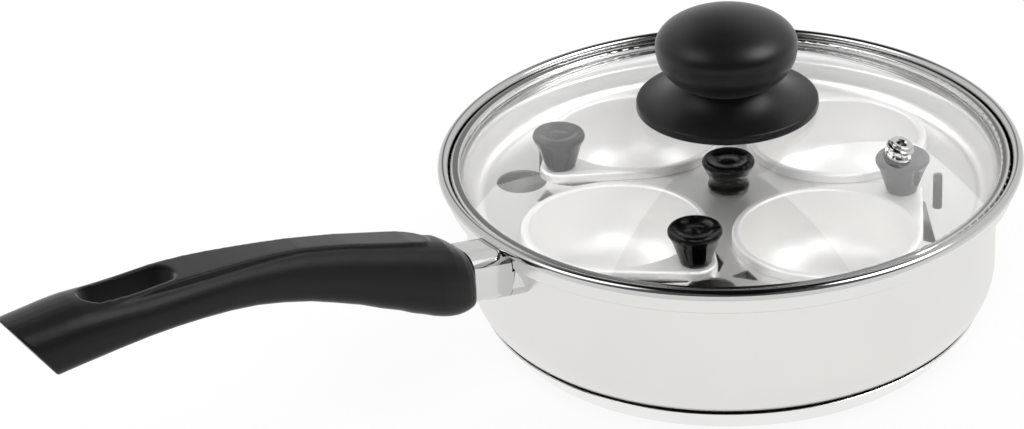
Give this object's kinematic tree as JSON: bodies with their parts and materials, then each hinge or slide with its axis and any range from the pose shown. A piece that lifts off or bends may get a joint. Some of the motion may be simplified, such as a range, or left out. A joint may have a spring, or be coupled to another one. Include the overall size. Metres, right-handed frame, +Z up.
{
  "type": "egg poacher pan",
  "caption": "Steel egg poacher pan with a black handle, a lift-out tray, egg cups with black knobs and a domed glass lid with a mushroom knob.",
  "frame": {"origin": "centre of the base's underside", "axes": "+Z up, the handle points along -X"},
  "size_m": [0.3882, 0.21, 0.1188],
  "materials": {
    "pan_steel": "satin outside, mirror rim",
    "base_steel": "polished",
    "core_aluminium": "dull",
    "bright_steel": "mirror",
    "tray_steel": "fine satin",
    "cup_steel": "mirror",
    "handle_black": "matte",
    "knob_black": "gloss",
    "lid_knob_black": "satin",
    "screw_steel": "plain",
    "insert_brass": "turned",
    "lid_glass": "clear",
    "seal_silicone": "matte"
  },
  "bodies": {
    "pan": {"pan_body": "pan_steel", "base_core": "core_aluminium", "base_cap": "base_steel", "handle_bracket": "bright_steel", "handle_ferrule": "bright_steel", "handle_grip": "handle_black", "handle_screw": "screw_steel"},
    "tray": {"tray_plate": "tray_steel", "tray_knob": "knob_black", "tray_knob_insert": "insert_brass", "tray_knob_washer": "screw_steel", "tray_knob_screw": "screw_steel"},
    "lid": {"lid_glass": "lid_glass", "lid_band": "bright_steel", "vent_eyelet": "bright_steel", "lid_knob": "lid_knob_black", "lid_knob_insert": "insert_brass", "lid_seal": "seal_silicone", "lid_washer": "screw_steel", "lid_screw": "screw_steel"},
    "egg_cup_1": {"cup_1": "cup_steel", "cup_knob_1": "knob_black", "cup_insert_1": "insert_brass", "cup_screw_1": "screw_steel"},
    "egg_cup_2": {"cup_2": "cup_steel", "cup_knob_2": "knob_black", "cup_insert_2": "insert_brass", "cup_screw_2": "screw_steel"},
    "egg_cup_3": {"cup_3": "cup_steel", "cup_knob_3": "knob_black", "cup_insert_3": "insert_brass", "cup_screw_3": "screw_steel"},
    "egg_cup_4": {"cup_4": "cup_steel", "cup_knob_4": "knob_black", "cup_insert_4": "insert_brass", "cup_screw_4": "screw_steel"}
  },
  "joints": [
    {"name": "tray_lift", "type": "slide", "parent": "pan", "child": "tray", "axis": [0, 0, 1], "range_m": [0, 0.08]},
    {"name": "lid_lift", "type": "slide", "parent": "tray", "child": "lid", "axis": [0, 0, 1], "range_m": [0, 0.12]},
    {"name": "cup_lift_1", "type": "slide", "parent": "tray", "child": "egg_cup_1", "axis": [0, 0, 1], "range_m": [0, 0.048]},
    {"name": "cup_lift_2", "type": "slide", "parent": "tray", "child": "egg_cup_2", "axis": [0, 0, 1], "range_m": [0, 0.048]},
    {"name": "cup_lift_3", "type": "slide", "parent": "tray", "child": "egg_cup_3", "axis": [0, 0, 1], "range_m": [0, 0.048]},
    {"name": "cup_lift_4", "type": "slide", "parent": "tray", "child": "egg_cup_4", "axis": [0, 0, 1], "range_m": [0, 0.048]}
  ],
  "couplings": [
    {"joint": "cup_lift_1", "follows": "lid_lift", "ratio": 0.4},
    {"joint": "cup_lift_2", "follows": "lid_lift", "ratio": 0.4},
    {"joint": "cup_lift_3", "follows": "lid_lift", "ratio": 0.4},
    {"joint": "cup_lift_4", "follows": "lid_lift", "ratio": 0.4}
  ]
}
